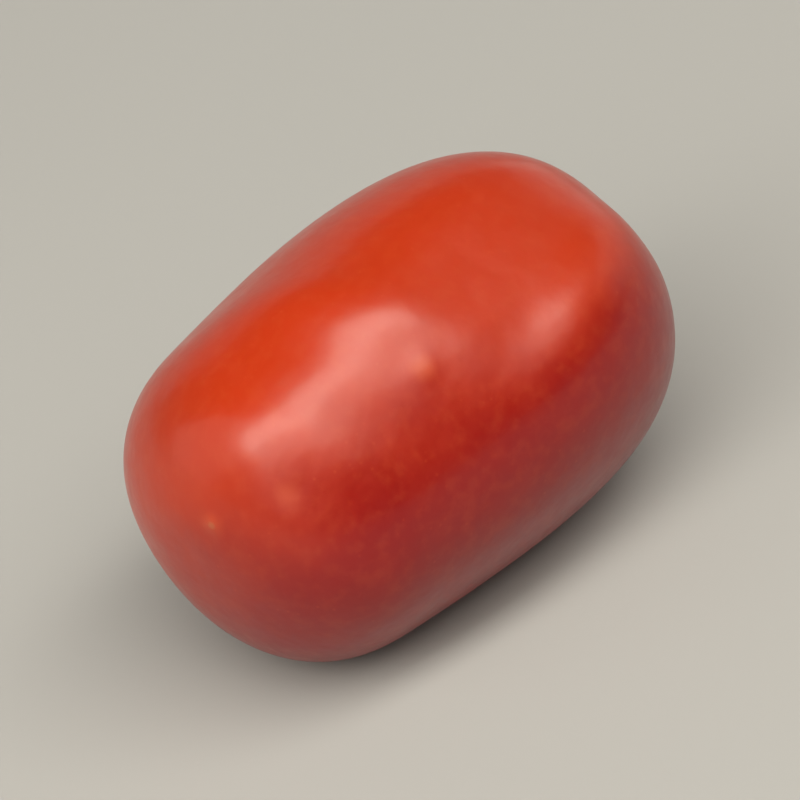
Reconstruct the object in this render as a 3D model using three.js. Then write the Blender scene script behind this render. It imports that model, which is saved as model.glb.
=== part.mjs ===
// A ripe plum tomato, picked without its stalk and lying on its side.
// Millimetres, +Z up. The stem end points to +X and the blossom end to -X.
// The origin is under the middle of the fruit, on the surface that it rests on.
import * as THREE from 'three';

// Sizes of the plain fruit, from the section where its round blossom end begins
const STEM_REACH = 46;
const BLOSSOM_REACH = 15;
const HALF_WIDTH = 19.4;
const STEM_BLUNTNESS = 2.8;
const BLOSSOM_BLUNTNESS = 2.45;

// How much wider the fruit grows, and how far its axis bows, at a length from that section
const GIRTH_LENGTH = 32;
const WIDENING = 0.175;
const BOW = { up: -0.4, side: -0.4 };

// The rounded-square section: low ridges between four flattish sides, turning along the fruit
const SIDE_COUNT = 4;
const SIDE_RELIEF = 0.026;
const UNDERSIDE_SHARE = 0.3;
const RIDGE_ANGLE = THREE.MathUtils.degToRad(-9.5);
const RIDGE_TURN_PER_MM = THREE.MathUtils.degToRad(-0.07);

// The hollows and swellings of the upper side. Each is a long hump, or a hollow where its height
// is negative: its middle along and round the fruit, its half sizes, the turn of its long
// direction away from the axis, its height, and how steep its edge is. Angles are in degrees.
const DISH = {
  along: 29.9, angle: -28.6, halfLength: 14, halfWidth: 6.4, turn: 10, height: -1.7, edge: 1.23,
};
const VALLEY = {
  along: 27, angle: -49.3, halfLength: 10.9, halfWidth: 3.6, turn: 18, height: -0.7, edge: 1,
};
const SHOULDER = {
  along: 8, angle: -14.3, halfLength: 12.8, halfWidth: 5.2, turn: -57, height: 0.9, edge: 1,
};
const FLANK = {
  along: 25.7, angle: -76.5, halfLength: 14, halfWidth: 8.4, turn: 12, height: 0.9, edge: 1,
};
const NOSE_RIDGE = {
  along: -6.8, angle: -33.6, halfLength: 10.4, halfWidth: 3.6, turn: -70, height: 0.9, edge: 1,
};
const LONG_RIDGE = {
  along: 3, angle: -38, halfLength: 14, halfWidth: 3.6, turn: -41, height: 0.28, edge: 1,
};
const FORMS = [DISH, VALLEY, SHOULDER, FLANK, NOSE_RIDGE, LONG_RIDGE];
const FORM_FREE_RADIUS = 6;

// The stem dimple, the soft folds that run into it, and the corky scar in its middle
const DIMPLE_DEPTH = 2.4;
const DIMPLE_RADIUS = 5.4;
const FOLD_COUNT = 5;
const FOLD_RELIEF = 0.4;
const FOLD_RADIUS = 6;
const FOLD_TURN = 1;
const SCAR_RADIUS = 2.5;
const SCAR_RING_HEIGHT = 0.45;
const SCAR_RING_WIDTH = 0.55;
const SCAR_PIT_DEPTH = 0.9;
const SCAR_PIT_RADIUS = 1.3;

// How far the tip of the round blossom end lies off the axis
const NOSE_SHIFT = { up: 3.2, side: 0.6 };

// How the fruit lies: the blossom end dips a little, and the underside is pressed flat
const NOSE_DIP = THREE.MathUtils.degToRad(3);
const FLAT_SPOT_DEPTH = 0.6;

// The mesh: points round the fruit, rows from end to end, and closer rows by the scar
const POINTS_ROUND = 60;
const BODY_ROWS = 38;
const STEM_ROW_RADII = [0.7, 1.3, 1.75, 2.15, 2.5, 2.85, 3.3, 4.0, 5.0, 6.3];
const BLOSSOM_ROW_RADII = [2.2, 1.4, 0.7];
const FIRST_BODY_RADIUS = 7.6;
const LAST_BODY_RADIUS = 3.6;
const OUTLINE_SAMPLES = 600;

const SKIN_COLOUR = 0xb8210f;
const SKIN_ROUGHNESS = 0.32;

// A bell-shaped falloff, 1 in the middle and small past the given reach
function bell(distance, reach) {
  return Math.exp(-((distance / reach) ** 2));
}

// The difference between two directions round the axis, from -PI to PI
function turnBetween(angle, other) {
  return Math.atan2(Math.sin(angle - other), Math.cos(angle - other));
}

// How far the plain outline lies from the centre of the reference section, in the direction
// theta from the stem
function outlineDistance(theta) {
  const towardsStem = Math.cos(theta) > 0;
  const reach = towardsStem ? STEM_REACH : BLOSSOM_REACH;
  const bluntness = towardsStem ? STEM_BLUNTNESS : BLOSSOM_BLUNTNESS;
  const along = Math.abs(Math.cos(theta) / reach) ** bluntness;
  const across = Math.abs(Math.sin(theta) / HALF_WIDTH) ** bluntness;
  return (along + across) ** (-1 / bluntness);
}

// The share by which the sides and ridges move the skin in or out at this place
function sideRelief(theta, along, phi) {
  const ridge = RIDGE_ANGLE + RIDGE_TURN_PER_MM * along;
  const strength = THREE.MathUtils.lerp(UNDERSIDE_SHARE, 1, (1 + Math.cos(phi)) / 2);
  return SIDE_RELIEF * strength * Math.sin(theta) * Math.cos(SIDE_COUNT * (phi - ridge));
}

// How high one hollow or swelling stands at this place
function formHeight(form, along, phi) {
  const ahead = along - form.along;
  const aside = HALF_WIDTH * turnBetween(phi, THREE.MathUtils.degToRad(form.angle));
  const turn = THREE.MathUtils.degToRad(form.turn);
  const lengthwise = (ahead * Math.cos(turn) + aside * Math.sin(turn)) / form.halfLength;
  const crosswise = (aside * Math.cos(turn) - ahead * Math.sin(turn)) / form.halfWidth;
  return form.height * Math.exp(-((lengthwise ** 2 + crosswise ** 2) ** form.edge));
}

// How high they stand together, fading out near the axis at both ends
function formRelief(along, plainRadius, phi) {
  const together = FORMS.reduce((sum, form) => sum + formHeight(form, along, phi), 0);
  return together * (1 - bell(plainRadius, FORM_FREE_RADIUS));
}

// What the dimple, its folds and the scar add along the axis at a distance from the stem
function stemRelief(radius, phi) {
  const dimple = -DIMPLE_DEPTH * bell(radius, DIMPLE_RADIUS);
  const foldPlace = (radius / FOLD_RADIUS) ** 2 * Math.exp(1 - (radius / FOLD_RADIUS) ** 2);
  const folds = FOLD_RELIEF * foldPlace * Math.cos(FOLD_COUNT * phi + FOLD_TURN);
  const ring = SCAR_RING_HEIGHT * bell(radius - SCAR_RADIUS, SCAR_RING_WIDTH);
  const pit = -SCAR_PIT_DEPTH * bell(radius, SCAR_PIT_RADIUS);
  return dimple + folds + ring + pit;
}

// One point of the skin, theta from the stem end and phi round the axis from the top
function skinPoint(theta, phi) {
  const distance = outlineDistance(theta);
  const plainAlong = distance * Math.cos(theta);
  const girth = 1 + WIDENING * plainAlong / GIRTH_LENGTH;
  const plainRadius = distance * Math.sin(theta) * girth * (1 + sideRelief(theta, plainAlong, phi));
  const radius = plainRadius + formRelief(plainAlong, plainRadius, phi);
  const bow = (plainAlong / GIRTH_LENGTH) ** 2;
  let along = plainAlong;
  let up = radius * Math.cos(phi) + BOW.up * bow;
  let side = radius * Math.sin(phi) + BOW.side * bow;
  if (plainAlong > 0) {
    along += stemRelief(radius, phi) * Math.cos(theta);
  } else {
    const endShare = Math.max(0, 1 - radius / HALF_WIDTH) ** 2;
    const nearEnd = endShare * Math.abs(Math.cos(theta));
    up += NOSE_SHIFT.up * nearEnd;
    side += NOSE_SHIFT.side * nearEnd;
  }
  return new THREE.Vector3(along, side, up);
}

// The angle from the stem end, or from the blossom end, at which a row has this radius
function angleAtRadius(radius, reach) {
  return Math.atan2(radius, reach);
}

// Angles between two others that split the plain outline into equal lengths
function evenAngles(first, last, count) {
  const samples = [];
  let length = 0;
  let before = null;
  for (let step = 0; step <= OUTLINE_SAMPLES; step += 1) {
    const theta = THREE.MathUtils.lerp(first, last, step / OUTLINE_SAMPLES);
    const distance = outlineDistance(theta);
    const place = new THREE.Vector2(distance * Math.cos(theta), distance * Math.sin(theta));
    length += before ? place.distanceTo(before) : 0;
    samples.push({ theta, length });
    before = place;
  }
  const angles = [];
  for (let row = 0; row < count; row += 1) {
    const wanted = length * row / (count - 1);
    const passed = samples.find((sample) => sample.length >= wanted) ?? samples.at(-1);
    angles.push(passed.theta);
  }
  return angles;
}

// The rows of the mesh, as angles from the stem end to the blossom end
function rowAngles() {
  const stemRows = STEM_ROW_RADII.map((radius) => angleAtRadius(radius, STEM_REACH));
  const blossomRows = BLOSSOM_ROW_RADII.map((radius) => Math.PI - angleAtRadius(radius, BLOSSOM_REACH));
  const firstAngle = angleAtRadius(FIRST_BODY_RADIUS, STEM_REACH);
  const lastAngle = Math.PI - angleAtRadius(LAST_BODY_RADIUS, BLOSSOM_REACH);
  return [...stemRows, ...evenAngles(firstAngle, lastAngle, BODY_ROWS), ...blossomRows];
}

// All points of the skin: the stem pole, the rows in turn, and the blossom pole
function skinPoints(angles) {
  const points = [skinPoint(0, 0)];
  for (const theta of angles) {
    for (let step = 0; step < POINTS_ROUND; step += 1) {
      points.push(skinPoint(theta, 2 * Math.PI * step / POINTS_ROUND));
    }
  }
  points.push(skinPoint(Math.PI, 0));
  return points;
}

// The triangles between the rows and at the two poles, facing outwards
function skinTriangles(rowCount) {
  const triangles = [];
  const at = (row, step) => 1 + row * POINTS_ROUND + (step % POINTS_ROUND);
  const lastPole = 1 + rowCount * POINTS_ROUND;
  for (let step = 0; step < POINTS_ROUND; step += 1) {
    triangles.push(0, at(0, step + 1), at(0, step));
    for (let row = 0; row < rowCount - 1; row += 1) {
      triangles.push(at(row, step), at(row, step + 1), at(row + 1, step));
      triangles.push(at(row, step + 1), at(row + 1, step + 1), at(row + 1, step));
    }
    triangles.push(lastPole, at(rowCount - 1, step), at(rowCount - 1, step + 1));
  }
  return triangles;
}

// Tips the fruit as it lies, presses its underside flat and sets the origin below its middle
function layDown(points) {
  const dip = new THREE.Matrix4().makeRotationY(-NOSE_DIP);
  points.forEach((point) => point.applyMatrix4(dip));
  const floor = new THREE.Box3().setFromPoints(points).min.z + FLAT_SPOT_DEPTH;
  points.forEach((point) => { point.z = Math.max(point.z, floor); });
  const box = new THREE.Box3().setFromPoints(points);
  const middle = box.getCenter(new THREE.Vector3());
  const origin = new THREE.Vector3(middle.x, middle.y, box.min.z);
  points.forEach((point) => point.sub(origin));
}

function tomatoGeometry() {
  const angles = rowAngles();
  const points = skinPoints(angles);
  layDown(points);
  const geometry = new THREE.BufferGeometry().setFromPoints(points);
  geometry.setIndex(skinTriangles(angles.length));
  geometry.computeVertexNormals();
  return geometry;
}

const skin = new THREE.MeshStandardMaterial({ color: SKIN_COLOUR, roughness: SKIN_ROUGHNESS, metalness: 0 });
const tomato = new THREE.Mesh(tomatoGeometry(), skin);
tomato.name = 'tomato';

const fruit = new THREE.Group();
fruit.add(tomato);

export default fruit;
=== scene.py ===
"""A ripe plum tomato on a pale floor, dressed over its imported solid.

The fruit's own sizes are in millimetres, from its axis, with the stem end towards +X and +Z up.
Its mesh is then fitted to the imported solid, in metres, as all else in the scene is.
"""

import math

import bpy
import numpy as np
from mathutils import Matrix, Vector, noise


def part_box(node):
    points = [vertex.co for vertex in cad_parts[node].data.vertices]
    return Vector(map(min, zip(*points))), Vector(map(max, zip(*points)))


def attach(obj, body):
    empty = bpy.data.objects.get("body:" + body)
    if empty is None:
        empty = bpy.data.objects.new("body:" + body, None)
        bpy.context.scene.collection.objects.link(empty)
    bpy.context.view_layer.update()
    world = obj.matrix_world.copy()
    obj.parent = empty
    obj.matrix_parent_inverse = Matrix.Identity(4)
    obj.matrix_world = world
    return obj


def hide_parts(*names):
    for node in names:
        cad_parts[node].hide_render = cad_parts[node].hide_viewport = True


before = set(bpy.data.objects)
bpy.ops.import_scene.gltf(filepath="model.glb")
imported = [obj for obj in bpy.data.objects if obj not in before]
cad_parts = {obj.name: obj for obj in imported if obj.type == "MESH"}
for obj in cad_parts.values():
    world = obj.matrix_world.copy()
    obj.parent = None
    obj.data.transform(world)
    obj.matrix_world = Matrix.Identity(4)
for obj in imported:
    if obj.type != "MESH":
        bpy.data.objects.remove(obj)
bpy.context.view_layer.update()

# Driving dimensions of the fruit, in millimetres and radians, the same as in the part's source
STEM_REACH = 46.0
BLOSSOM_REACH = 15.0
HALF_WIDTH = 19.4
STEM_BLUNTNESS = 2.8
BLOSSOM_BLUNTNESS = 2.45
GIRTH_LENGTH = 32.0
WIDENING = 0.175
BOW_UP = -0.4
BOW_SIDE = -0.4
SIDE_COUNT = 4
SIDE_RELIEF = 0.026
UNDERSIDE_SHARE = 0.3
RIDGE_ANGLE = math.radians(-9.5)
RIDGE_TURN_PER_MM = math.radians(-0.07)
DIMPLE_DEPTH = 2.4
DIMPLE_RADIUS = 5.4
FOLD_COUNT = 5
FOLD_RELIEF = 0.4
FOLD_RADIUS = 6.0
FOLD_TURN = 1.0
SCAR_RADIUS = 2.5
SCAR_RING_HEIGHT = 0.45
SCAR_RING_WIDTH = 0.55
SCAR_PIT_DEPTH = 0.9
SCAR_PIT_RADIUS = 1.3
NOSE_SHIFT_UP = 3.2
NOSE_SHIFT_SIDE = 0.6
NOSE_DIP = math.radians(3)
FLAT_SPOT_DEPTH = 0.6

# The hollows and swellings of the upper side, as in the part's source. Angles are in degrees.
DISH = dict(along=29.9, angle=-28.6, half_length=14, half_width=6.4, turn=10, height=-1.7, edge=1.23)
VALLEY = dict(along=27, angle=-49.3, half_length=10.9, half_width=3.6, turn=18, height=-0.7, edge=1)
SHOULDER = dict(along=8, angle=-14.3, half_length=12.8, half_width=5.2, turn=-57, height=0.9, edge=1)
FLANK = dict(along=25.7, angle=-76.5, half_length=14, half_width=8.4, turn=12, height=0.9, edge=1)
NOSE_RIDGE = dict(along=-6.8, angle=-33.6, half_length=10.4, half_width=3.6, turn=-70, height=0.9, edge=1)
LONG_RIDGE = dict(along=3, angle=-38, half_length=14, half_width=3.6, turn=-41, height=0.28, edge=1)
FORMS = [DISH, VALLEY, SHOULDER, FLANK, NOSE_RIDGE, LONG_RIDGE]
FORM_FREE_RADIUS = 6.0

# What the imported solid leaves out: the uneven rim of the scar (waves round it, their share of its
# radius and their turn), its cracks, the stub of the stalk, the pale rays round it (direction, half
# width and reach of each), the slight swells of the skin and the soft edge of the flat spot
SCAR_LOBES = [(3, 0.07, 2.1), (5, 0.09, 0.4), (8, 0.04, 1.3)]
CRACKS = [0.35, 1.2, 2.15, 3.0, 4.25, 5.4]
CRACK_WIDTH = 0.09
CRACK_DEPTH = 0.3
STUB_HEIGHT = 0.75
STUB_RADIUS = 0.6
CORK_GRAIN = 0.7
CORK_RELIEF = 0.09
RAYS = [(0.5, 0.24, 6.0), (1.6, 0.15, 5.0), (2.7, 0.28, 6.6), (3.9, 0.17, 5.3), (5.2, 0.22, 6.1)]
SWELL_GRAIN = 12.0
SWELL_HEIGHT = 0.07
FLAT_EDGE = 0.12

# Small marks, placed by their angles from the stem end and from the top, in degrees
MARKS = {
    "blossom_scar": dict(theta=150.8, phi=-36.8, reach=0.9, height=0.12),
    # The pucker is a low swell of the skin, and the material paints it pale as a glint: a painted
    # highlight
    "pucker_and_painted_glint": dict(theta=64.2, phi=-46.0, reach=1.9, height=0.26),
    "scuff": dict(theta=119.5, phi=-49.4, reach=1.6, height=-0.03),
}

# The fine mesh: points round the fruit, rows from end to end, and closer rows by both ends
POINTS_ROUND = 288
BODY_ROWS = 190
STEM_ROWS = 64
BLOSSOM_ROWS = 24
FIRST_BODY_RADIUS = 7.6
LAST_BODY_RADIUS = 3.6
POLE_ROW_RADIUS = 0.08
OUTLINE_SAMPLES = 2000

# The colours of the skin. The orange red is painted light on the side that faces the lamps, and the deep
# red is painted shade on the side away from them.
SHADED_DEEP_RED = (0.225, 0.0006, 0.0005, 1)
LIT_ORANGE_RED = (0.41, 0.025, 0.0012, 1)
PALE_RED = (0.52, 0.085, 0.025, 1)
SHOULDER_YELLOW = (0.60, 0.145, 0.015, 1)
RAY_PINK = (0.88, 0.42, 0.24, 1)
CORK = (0.74, 0.64, 0.33, 1)
CORK_DARK = (0.32, 0.23, 0.09, 1)
PIT_GREEN = (0.24, 0.26, 0.07, 1)
SCAR_BROWN = (0.34, 0.17, 0.07, 1)
LIGHT_SIDE_DIRECTION = (0.0, 0.6, 0.75)
PAINTED_LIGHT_START = -0.52
PAINTED_LIGHT_END = 0.4

# The gloss of the wax, the light that the flesh lets through, and the relief that is too fine for
# the mesh: a pore-sized peel and wider ripples. Grains and depths are in millimetres.
WAX_ROUGHNESS = (0.27, 0.43)
CORK_ROUGHNESS = 0.5
SKIN_IOR = 1.43
COAT_WEIGHT = 0.3
COAT_ROUGHNESS = 0.18
FLESH_WEIGHT = 0.12
FLESH_REACH = (1.0, 0.15, 0.06)
FLESH_SCALE = 0.0015
PEEL_GRAIN = 0.9
PEEL_DEPTH = 0.010
RIPPLE_GRAIN = 4.0
RIPPLE_DEPTH = 0.10
MM_PER_METRE = 1000.0

# The floor and the light from all round
FLOOR_REACH = 2.5
FLOOR_COLOUR = (0.375, 0.375, 0.37, 1)
FLOOR_ROUGHNESS = 0.7
WORLD_COLOUR = (1, 0.98, 0.95, 1)
WORLD_STRENGTH = 0.10

# The softboxes. A direction is right, up and towards the camera, as seen from the fruit. The turn
# is in degrees, and the shift moves a softbox along its height. The key, core and broad boxes
# overlap, so that the highlight has a crisp upper edge and a soft lower one.
DAYLIGHT = (1.0, 0.95, 0.84)
ABOVE = dict(direction=(-0.082, 0.382, 0.921), turn=40.5)
SOFTBOXES = {
    "key": dict(ABOVE, distance=1.0, width=2.43, height=0.72, shift=0, watts=11.2),
    "core": dict(ABOVE, distance=0.98, width=2.3, height=0.34, shift=0.16, watts=10.5),
    "broad": dict(ABOVE, distance=1.02, width=2.5, height=0.86, shift=-0.24, watts=6.2),
    "back": dict(direction=(-0.20, 0.64, -0.74), turn=0, distance=1.0, width=1.4, height=0.8,
                 shift=0, watts=1.0),
    "end": dict(direction=(0.604, 0.689, -0.406), turn=0, distance=1.0, width=1.2, height=0.6,
                shift=0, watts=1.3),
    "side": dict(direction=(-0.90, 0.0, 0.30), turn=12, distance=1.1, width=1.5, height=0.8,
                 shift=0, watts=3.1),
}

# The camera, at the photograph's viewing angle
CAMERA_AZIMUTH = math.radians(-36.3)
CAMERA_ELEVATION = math.radians(33.7)
CAMERA_ROLL = math.radians(-14.85)
CAMERA_DISTANCE = 0.893
CAMERA_LENS_MM = 385
SENSOR_MM = 36


def bell(distance, reach):
    """A falloff that is 1 in the middle and small past the given reach."""
    return np.exp(-((distance / reach) ** 2))


def turn_between(angle, other):
    """The difference between two directions round the axis, from -pi to pi."""
    return np.arctan2(np.sin(angle - other), np.cos(angle - other))


def outline_distance(theta):
    """How far the plain outline lies from the reference section, in the direction theta."""
    towards_stem = np.cos(theta) > 0
    reach = np.where(towards_stem, STEM_REACH, BLOSSOM_REACH)
    bluntness = np.where(towards_stem, STEM_BLUNTNESS, BLOSSOM_BLUNTNESS)
    along = np.abs(np.cos(theta) / reach) ** bluntness
    across = np.abs(np.sin(theta) / HALF_WIDTH) ** bluntness
    return (along + across) ** (-1 / bluntness)


def side_relief(theta, along, phi):
    """The share by which the four sides and their ridges move the skin in or out."""
    ridge = RIDGE_ANGLE + RIDGE_TURN_PER_MM * along
    strength = UNDERSIDE_SHARE + (1 - UNDERSIDE_SHARE) * (1 + np.cos(phi)) / 2
    return SIDE_RELIEF * strength * np.sin(theta) * np.cos(SIDE_COUNT * (phi - ridge))


def form_height(form, along, phi):
    """How high one hollow or swelling stands."""
    ahead = along - form["along"]
    aside = HALF_WIDTH * turn_between(phi, math.radians(form["angle"]))
    turn = math.radians(form["turn"])
    lengthwise = (ahead * math.cos(turn) + aside * math.sin(turn)) / form["half_length"]
    crosswise = (aside * math.cos(turn) - ahead * math.sin(turn)) / form["half_width"]
    return form["height"] * np.exp(-((lengthwise ** 2 + crosswise ** 2) ** form["edge"]))


def form_relief(along, plain_radius, phi):
    """How high they stand together, fading out near the axis at both ends."""
    together = sum(form_height(form, along, phi) for form in FORMS)
    return together * (1 - bell(plain_radius, FORM_FREE_RADIUS))


def scar_radius(phi):
    """The uneven outline of the scar's rim."""
    lobes = sum(share * np.cos(count * phi + turn) for count, share, turn in SCAR_LOBES)
    return SCAR_RADIUS * (1 + lobes)


def crack_share(phi):
    """1 along the cracks of the scar and 0 between them."""
    return np.minimum(1, sum(bell(turn_between(phi, crack), CRACK_WIDTH) for crack in CRACKS))


def stem_relief(radius, phi):
    """What the dimple, its folds and the scar add along the axis near the stem end."""
    dimple = -DIMPLE_DEPTH * bell(radius, DIMPLE_RADIUS)
    fold_place = (radius / FOLD_RADIUS) ** 2 * np.exp(1 - (radius / FOLD_RADIUS) ** 2)
    folds = FOLD_RELIEF * fold_place * np.cos(FOLD_COUNT * phi + FOLD_TURN)
    ring_height = SCAR_RING_HEIGHT - CRACK_DEPTH * crack_share(phi)
    ring = ring_height * bell(radius - scar_radius(phi), SCAR_RING_WIDTH)
    pit = -SCAR_PIT_DEPTH * bell(radius, SCAR_PIT_RADIUS)
    stub = STUB_HEIGHT * bell(radius, STUB_RADIUS)
    return dimple + folds + ring + pit + stub


def skin_points(theta, phi):
    """Points of the skin in millimetres, and how far each is from the axis."""
    distance = outline_distance(theta)
    plain_along = distance * np.cos(theta)
    girth = 1 + WIDENING * plain_along / GIRTH_LENGTH
    plain_radius = distance * np.sin(theta) * girth * (1 + side_relief(theta, plain_along, phi))
    radius = plain_radius + form_relief(plain_along, plain_radius, phi)
    bow = (plain_along / GIRTH_LENGTH) ** 2
    up = radius * np.cos(phi) + BOW_UP * bow
    side = radius * np.sin(phi) + BOW_SIDE * bow
    at_stem_end = plain_along > 0
    along = plain_along + np.where(at_stem_end, stem_relief(radius, phi) * np.cos(theta), 0)
    near_end = np.maximum(0, 1 - radius / HALF_WIDTH) ** 2 * np.abs(np.cos(theta))
    up = up + np.where(at_stem_end, 0, NOSE_SHIFT_UP * near_end)
    side = side + np.where(at_stem_end, 0, NOSE_SHIFT_SIDE * near_end)
    return np.stack([along, side, up], axis=-1), radius


def outwards(theta, phi):
    """Directions out of the skin, near enough for fine relief."""
    across = np.sin(theta)
    return np.stack([np.cos(theta), across * np.sin(phi), across * np.cos(phi)], axis=-1)


def grains(points, grain_mm):
    """Smooth noise from -1 to 1 at each point, with grains of about this size."""
    return np.array([noise.noise(Vector(point) / grain_mm) for point in points])


def mark_distance(mark, points):
    """How far each point lies from the middle of one mark."""
    theta, phi = math.radians(mark["theta"]), math.radians(mark["phi"])
    place = skin_points(np.array([theta]), np.array([phi]))[0]
    return np.linalg.norm(points - place, axis=1)


def cork_share(points, radius, phi):
    """1 on the corky scar and 0 outside it, passing through a half just past its ring."""
    beyond = radius - scar_radius(phi) - SCAR_RING_WIDTH
    return np.where(points[:, 0] > 0, np.clip(0.5 - beyond / SCAR_RING_WIDTH, 0, 1), 0)


def fine_relief(points, radius, phi):
    """Swells of the skin, the grain of the cork, and the small marks."""
    relief = SWELL_HEIGHT * grains(points, SWELL_GRAIN)
    cork = cork_share(points, radius, phi)
    rough = cork > 0
    relief[rough] += CORK_RELIEF * cork[rough] * grains(points[rough], CORK_GRAIN)
    for mark in MARKS.values():
        relief += mark["height"] * bell(mark_distance(mark, points), mark["reach"])
    return relief


def lie_down(points):
    """Tips the fruit as it lies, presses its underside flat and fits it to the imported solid."""
    dip = np.array(Matrix.Rotation(-NOSE_DIP, 3, "Y"))
    points = points @ dip.T
    floor = points[:, 2].min() + FLAT_SPOT_DEPTH
    points[:, 2] = floor + FLAT_EDGE * np.logaddexp(0, (points[:, 2] - floor) / FLAT_EDGE)
    low, high = [np.array(corner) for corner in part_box("tomato")]
    share = (points - points.min(0)) / (points.max(0) - points.min(0))
    return low + share * (high - low)


def even_angles(first, last, count):
    """Angles between two others that split the plain outline into equal lengths."""
    theta = np.linspace(first, last, OUTLINE_SAMPLES)
    place = outline_distance(theta)[:, None] * np.stack([np.cos(theta), np.sin(theta)], axis=1)
    length = np.concatenate([[0], np.cumsum(np.linalg.norm(np.diff(place, axis=0), axis=1))])
    return np.interp(np.linspace(0, length[-1], count), length, theta)


def row_angles():
    """The rows of the fine mesh, from the stem end to the blossom end."""
    stem_radii = np.linspace(POLE_ROW_RADIUS, FIRST_BODY_RADIUS, STEM_ROWS, endpoint=False)
    blossom_radii = np.linspace(LAST_BODY_RADIUS, POLE_ROW_RADIUS, BLOSSOM_ROWS + 1)[1:]
    first = math.atan2(FIRST_BODY_RADIUS, STEM_REACH)
    last = math.pi - math.atan2(LAST_BODY_RADIUS, BLOSSOM_REACH)
    stem = np.arctan2(stem_radii, STEM_REACH)
    blossom = math.pi - np.arctan2(blossom_radii, BLOSSOM_REACH)
    return np.concatenate([stem, even_angles(first, last, BODY_ROWS), blossom])


def skin_faces(row_count):
    """Quads between the rows, and a fan of triangles at each pole, facing outwards."""
    faces = []
    last_row = 1 + (row_count - 1) * POINTS_ROUND
    last_pole = 1 + row_count * POINTS_ROUND
    for step in range(POINTS_ROUND):
        following = (step + 1) % POINTS_ROUND
        faces.append((0, 1 + following, 1 + step))
        for row in range(row_count - 1):
            here = 1 + row * POINTS_ROUND
            beyond = here + POINTS_ROUND
            faces.append((here + step, here + following, beyond + following, beyond + step))
        faces.append((last_pole, last_row + step, last_row + following))
    return faces


def ray_share(radius, phi):
    """1 on the pale rays round the scar, thinning out to 0 at their tips."""
    share = 0
    for direction, half_width, reach in RAYS:
        left = np.clip((reach - radius) / (reach - SCAR_RADIUS), 0, 1)
        share = share + left * bell(turn_between(phi, direction), half_width)
    return np.minimum(1, share)


def painted_light_share(mesh):
    """The share of painted light at each point: 1 on the side that faces the lamps, painted orange red,
    and 0 on the other side, painted deep red as shade.
    """
    normals = np.empty(3 * len(mesh.vertices), dtype=np.float32)
    mesh.vertices.foreach_get("normal", normals)
    facing = normals.reshape(-1, 3) @ np.array(LIGHT_SIDE_DIRECTION)
    share = np.clip((facing - PAINTED_LIGHT_START) / (PAINTED_LIGHT_END - PAINTED_LIGHT_START), 0, 1)
    return share * share * (3 - 2 * share)


def store(mesh, name, values):
    """Keeps one number for each vertex, which the material reads by name."""
    attribute = mesh.attributes.new(name, "FLOAT", "POINT")
    attribute.data.foreach_set("value", np.asarray(values, dtype=np.float32))


def store_spokes(mesh, radius, phi):
    """Keeps a place for each vertex that changes fast round the axis and slowly along it."""
    place = np.stack([np.cos(phi), np.sin(phi), radius / HALF_WIDTH], axis=1)
    attribute = mesh.attributes.new("spokes", "FLOAT_VECTOR", "POINT")
    attribute.data.foreach_set("vector", place.astype(np.float32).ravel())


def store_marks(mesh, points, radius, phi):
    """Keeps what the material needs to know about each point of the skin."""
    at_stem = points[:, 0] > 0
    # Painted light and shade: how far each point faces the lamps
    store(mesh, "painted_light_share", painted_light_share(mesh))
    store(mesh, "stem_distance", np.where(at_stem, radius, STEM_REACH))
    store(mesh, "cork", cork_share(points, radius, phi))
    store(mesh, "crack", crack_share(phi))
    store(mesh, "ray", np.where(at_stem, ray_share(radius, phi), 0))
    for name, mark in MARKS.items():
        store(mesh, name, mark_distance(mark, points))
    store_spokes(mesh, radius, phi)


def make_tomato():
    """The fruit's fine skin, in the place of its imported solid."""
    angles = row_angles()
    phi = np.linspace(0, 2 * math.pi, POINTS_ROUND, endpoint=False)
    grid_theta, grid_phi = [part.ravel() for part in np.meshgrid(angles, phi, indexing="ij")]
    theta = np.concatenate([[0], grid_theta, [math.pi]])
    phi = np.concatenate([[0], grid_phi, [0]])
    points, radius = skin_points(theta, phi)
    relief = fine_relief(points, radius, phi)
    placed = lie_down(points + relief[:, None] * outwards(theta, phi))
    mesh = bpy.data.meshes.new("tomato_skin")
    mesh.from_pydata(placed.tolist(), [], skin_faces(len(angles)))
    mesh.shade_smooth()
    store_marks(mesh, points, radius, phi)
    tomato = bpy.data.objects.new("tomato_skin", mesh)
    bpy.context.collection.objects.link(tomato)
    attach(tomato, "root")
    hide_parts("tomato")
    return tomato


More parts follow.
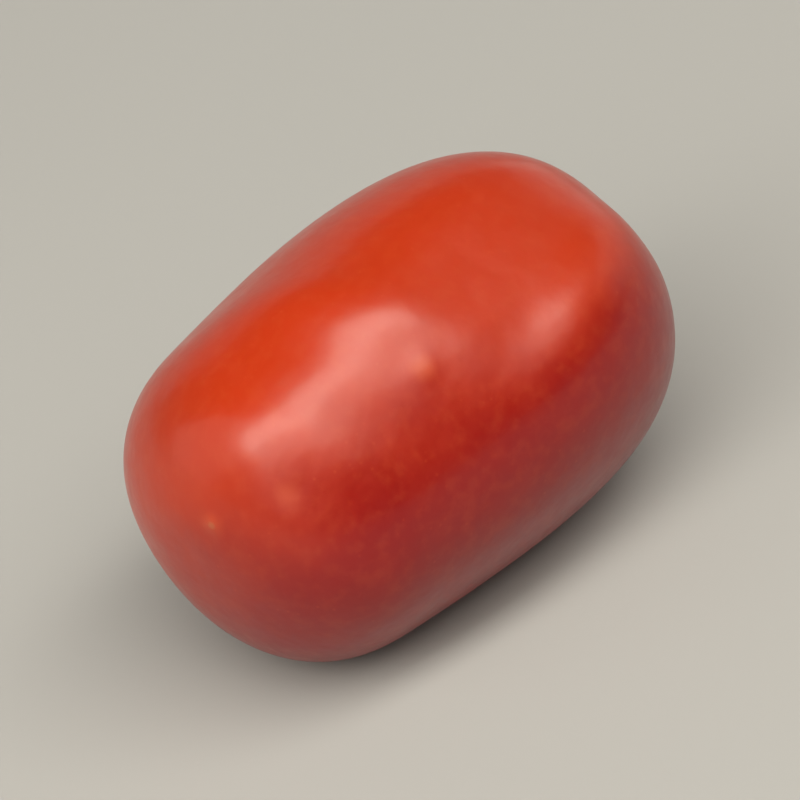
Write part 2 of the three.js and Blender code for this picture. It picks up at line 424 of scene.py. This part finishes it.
class SkinNodes:
    """Short calls that add nodes to one material."""

    def __init__(self, material):
        self.tree = material.node_tree
        self.place = self.add("ShaderNodeTexCoord").outputs["Object"]

    def add(self, kind, **sockets):
        """A node whose inputs are set to numbers and colours, or linked from other sockets."""
        node = self.tree.nodes.new(kind)
        for name, value in sockets.items():
            self.set(node.inputs[name.replace("_", " ")], value)
        return node

    def set(self, socket, value):
        """Links one socket to another, or sets it to a number or a colour."""
        if isinstance(value, bpy.types.NodeSocket):
            self.tree.links.new(value, socket)
        else:
            socket.default_value = value

    def attribute(self, name):
        """What the mesh keeps under this name."""
        node = self.add("ShaderNodeAttribute")
        node.attribute_name = name
        return node.outputs

    def stored(self, name):
        """A number kept on the mesh."""
        return self.attribute(name)["Fac"]

    def ramp(self, value, start, end):
        """0 at the start and 1 at the end, with a smooth passage between."""
        node = self.add("ShaderNodeMapRange", Value=value, From_Min=start, From_Max=end)
        node.interpolation_type = "SMOOTHSTEP"
        return node.outputs["Result"]

    def math(self, operation, first, second):
        """Two numbers put together by one of the Math node's operations."""
        node = self.add("ShaderNodeMath")
        node.operation = operation
        self.set(node.inputs[0], first)
        self.set(node.inputs[1], second)
        return node.outputs["Value"]

    def total(self, first, second):
        """The sum of two numbers."""
        return self.math("ADD", first, second)

    def weaker(self, value, share):
        """A number cut down to this share of it."""
        return self.math("MULTIPLY", value, share)

    def noise(self, grain_mm, detail=2.0):
        """Noise from 0 to 1 with grains of about this size."""
        scale = MM_PER_METRE / grain_mm
        return self.add("ShaderNodeTexNoise", Vector=self.place, Scale=scale, Detail=detail).outputs["Fac"]

    def streaks(self, scale, detail):
        """Noise from 0 to 1 that runs in streaks away from the axis."""
        place = self.attribute("spokes")["Vector"]
        return self.add("ShaderNodeTexNoise", Vector=place, Scale=scale, Detail=detail).outputs["Fac"]

    def specks(self, spacing_mm, size_mm):
        """1 in the middle of small scattered dots and 0 between them."""
        node = self.add("ShaderNodeTexVoronoi", Vector=self.place, Scale=MM_PER_METRE / spacing_mm)
        return self.ramp(node.outputs["Distance"], start=size_mm / spacing_mm, end=0)

    def mix(self, share, first, second):
        """One colour turned into another by a share from 0 to 1."""
        node = self.add("ShaderNodeMix")
        node.data_type = "RGBA"
        node.clamp_factor = True
        by_name = {socket.identifier: socket for socket in node.inputs}
        self.set(by_name["Factor_Float"], share)
        self.set(by_name["A_Color"], first)
        self.set(by_name["B_Color"], second)
        return next(socket for socket in node.outputs if socket.identifier == "Result_Color")

    def bump(self, height, distance_mm):
        """A Bump node for relief of this depth."""
        return self.add("ShaderNodeBump", Height=height, Distance=distance_mm / MM_PER_METRE)


def flesh_colour(nodes):
    """Painted shade as deep red below and painted light as orange red above, with mottling, pale clouds
    and fine flecks.
    """
    mottling = nodes.weaker(nodes.noise(grain_mm=5.0, detail=4.0), share=0.45)
    # Painted light and shade: orange red where the skin faces the lamps, deep red as shade on the far
    # side, broken up by the skin's own mottling
    painted_light = nodes.ramp(nodes.total(nodes.stored("painted_light_share"), mottling), start=0.12, end=1.25)
    colour = nodes.mix(painted_light, SHADED_DEEP_RED, LIT_ORANGE_RED)
    cloud = nodes.ramp(nodes.noise(grain_mm=1.6, detail=3.0), start=0.42, end=0.75)
    colour = nodes.mix(nodes.weaker(cloud, share=0.10), colour, PALE_RED)
    patches = nodes.ramp(nodes.noise(grain_mm=6.0), start=0.4, end=0.7)
    flecks = nodes.math("MULTIPLY", nodes.specks(spacing_mm=1.3, size_mm=0.28), patches)
    return nodes.mix(nodes.weaker(flecks, share=0.22), colour, PALE_RED)


def shoulder_colour(nodes, colour):
    """Yellow streaks that fade out down the shoulder, and pale rays with broken edges."""
    unevenness = nodes.weaker(nodes.streaks(scale=6.5, detail=3.0), share=7.0)
    shoulder = nodes.ramp(nodes.total(nodes.stored("stem_distance"), unevenness), start=15.0, end=5.5)
    colour = nodes.mix(nodes.weaker(shoulder, share=0.75), colour, SHOULDER_YELLOW)
    breaks = nodes.weaker(nodes.noise(grain_mm=0.8, detail=3.0), share=0.5)
    ray = nodes.ramp(nodes.total(nodes.stored("ray"), breaks), start=0.42, end=0.85)
    return nodes.mix(ray, colour, RAY_PINK)


def scar_colour(nodes, colour):
    """Grained cork with dark cracks, and a green pit with the dark stub in its middle."""
    distance = nodes.stored("stem_distance")
    grain = nodes.ramp(nodes.noise(grain_mm=0.55, detail=4.0), start=0.35, end=0.7)
    cork = nodes.mix(nodes.weaker(grain, share=0.45), CORK, CORK_DARK)
    cork = nodes.mix(nodes.weaker(nodes.stored("crack"), share=0.6), cork, CORK_DARK)
    cork = nodes.mix(nodes.ramp(distance, start=1.75, end=0.9), cork, PIT_GREEN)
    cork = nodes.mix(nodes.ramp(distance, start=0.65, end=0.3), cork, CORK_DARK)
    return nodes.mix(nodes.stored("cork"), colour, cork)


def mark_colour(nodes, colour):
    """The blossom scar, a pucker painted pale as a glint, and a faint dull scuff."""
    blossom_scar = nodes.stored("blossom_scar")
    halo = nodes.weaker(nodes.ramp(blossom_scar, start=2.0, end=0.3), share=0.3)
    colour = nodes.mix(halo, colour, PALE_RED)
    middle_dot = nodes.weaker(nodes.ramp(blossom_scar, start=0.6, end=0.2), share=0.3)
    colour = nodes.mix(middle_dot, colour, SCAR_BROWN)
    # Painted highlight: the pucker is painted pale, as the glint it catches
    pucker_and_painted_glint = nodes.weaker(nodes.ramp(nodes.stored("pucker_and_painted_glint"), start=2.0, end=0.2), share=0.45)
    colour = nodes.mix(pucker_and_painted_glint, colour, PALE_RED)
    scuff = nodes.weaker(nodes.ramp(nodes.stored("scuff"), start=2.0, end=0.4), share=0.25)
    return nodes.mix(scuff, colour, PALE_RED)


def skin_roughness(nodes):
    """Waxy skin that is a little uneven, and dull cork."""
    smoothest, roughest = WAX_ROUGHNESS
    uneven = nodes.noise(grain_mm=2.5, detail=3.0)
    wax = nodes.add("ShaderNodeMapRange", Value=uneven, To_Min=smoothest, To_Max=roughest)
    dull = nodes.weaker(nodes.stored("cork"), share=CORK_ROUGHNESS)
    return nodes.total(wax.outputs["Result"], dull)


def skin_coat(nodes):
    """A thin coat of wax everywhere but on the cork."""
    return nodes.weaker(nodes.ramp(nodes.stored("cork"), start=1, end=0), share=COAT_WEIGHT)


def skin_relief(nodes):
    """The peel and the ripples, as bumps."""
    peel = nodes.bump(nodes.noise(grain_mm=PEEL_GRAIN), PEEL_DEPTH)
    ripples = nodes.bump(nodes.noise(grain_mm=RIPPLE_GRAIN), RIPPLE_DEPTH)
    nodes.set(ripples.inputs["Normal"], peel.outputs["Normal"])
    return ripples.outputs["Normal"]


def skin_material():
    """Waxy red skin, with the scar and the small marks."""
    material = bpy.data.materials.new("tomato_skin")
    material.use_nodes = True
    nodes = SkinNodes(material)
    skin = material.node_tree.nodes["Principled BSDF"].inputs
    colour = scar_colour(nodes, shoulder_colour(nodes, flesh_colour(nodes)))
    nodes.set(skin["Base Color"], mark_colour(nodes, colour))
    nodes.set(skin["Roughness"], skin_roughness(nodes))
    nodes.set(skin["Coat Weight"], skin_coat(nodes))
    nodes.set(skin["Normal"], skin_relief(nodes))
    skin["IOR"].default_value = SKIN_IOR
    skin["Coat Roughness"].default_value = COAT_ROUGHNESS
    skin["Subsurface Weight"].default_value = FLESH_WEIGHT
    skin["Subsurface Radius"].default_value = FLESH_REACH
    skin["Subsurface Scale"].default_value = FLESH_SCALE
    return material


def make_floor():
    """A plain pale floor."""
    mesh = bpy.data.meshes.new("floor")
    corners = [(-FLOOR_REACH, -FLOOR_REACH, 0), (FLOOR_REACH, -FLOOR_REACH, 0),
               (FLOOR_REACH, FLOOR_REACH, 0), (-FLOOR_REACH, FLOOR_REACH, 0)]
    mesh.from_pydata(corners, [], [(0, 1, 2, 3)])
    material = bpy.data.materials.new("floor")
    material.use_nodes = True
    shader = material.node_tree.nodes["Principled BSDF"]
    shader.inputs["Base Color"].default_value = FLOOR_COLOUR
    shader.inputs["Roughness"].default_value = FLOOR_ROUGHNESS
    mesh.materials.append(material)
    floor = bpy.data.objects.new("floor", mesh)
    bpy.context.collection.objects.link(floor)


def make_world():
    """Soft light from all round."""
    world = bpy.data.worlds.new("studio")
    bpy.context.scene.world = world
    world.use_nodes = True
    background = world.node_tree.nodes["Background"]
    background.inputs["Color"].default_value = WORLD_COLOUR
    background.inputs["Strength"].default_value = WORLD_STRENGTH


def camera_axes():
    """The camera's right, up and backward directions in the part's frame."""
    level = math.cos(CAMERA_ELEVATION)
    back = Vector((math.sin(CAMERA_AZIMUTH) * level, -math.cos(CAMERA_AZIMUTH) * level,
                   math.sin(CAMERA_ELEVATION)))
    level_right = Vector((math.cos(CAMERA_AZIMUTH), math.sin(CAMERA_AZIMUTH), 0))
    roll = Matrix.Rotation(CAMERA_ROLL, 3, back)
    right = roll @ level_right
    return right, back.cross(right), back


def make_camera(target):
    """The camera at the photograph's viewing angle, looking at the middle of the fruit."""
    data = bpy.data.cameras.new("camera")
    data.lens = CAMERA_LENS_MM
    data.sensor_width = SENSOR_MM
    camera = bpy.data.objects.new("camera", data)
    bpy.context.collection.objects.link(camera)
    right, up, back = camera_axes()
    turn = Matrix((right, up, back)).transposed()
    camera.matrix_world = Matrix.Translation(target + CAMERA_DISTANCE * back) @ turn.to_4x4()
    bpy.context.scene.camera = camera


def make_softbox(name, target, direction, turn, distance, width, height, shift, watts):
    """A softbox facing the fruit. Its width lies level in the picture before it is turned."""
    data = bpy.data.lights.new(name, "AREA")
    data.shape = "RECTANGLE"
    data.size = width
    data.size_y = height
    data.energy = watts
    data.color = DAYLIGHT
    light = bpy.data.objects.new(name, data)
    bpy.context.collection.objects.link(light)
    right, up, back = camera_axes()
    aim = (direction[0] * right + direction[1] * up + direction[2] * back).normalized()
    level = up.cross(aim).normalized()
    facing = Matrix((level, aim.cross(level), aim)).transposed().to_4x4()
    spin = Matrix.Rotation(math.radians(turn), 4, "Z")
    along_height = Matrix.Translation((0, shift, 0))
    light.matrix_world = Matrix.Translation(target + distance * aim) @ facing @ spin @ along_height


low, high = [Vector(corner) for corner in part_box("tomato")]
middle = (low + high) / 2
make_camera(middle)
tomato = make_tomato()
tomato.data.materials.append(skin_material())
make_floor()
make_world()
for name, settings in SOFTBOXES.items():
    make_softbox(name, middle, **settings)
bpy.context.scene.view_settings.view_transform = "Standard"
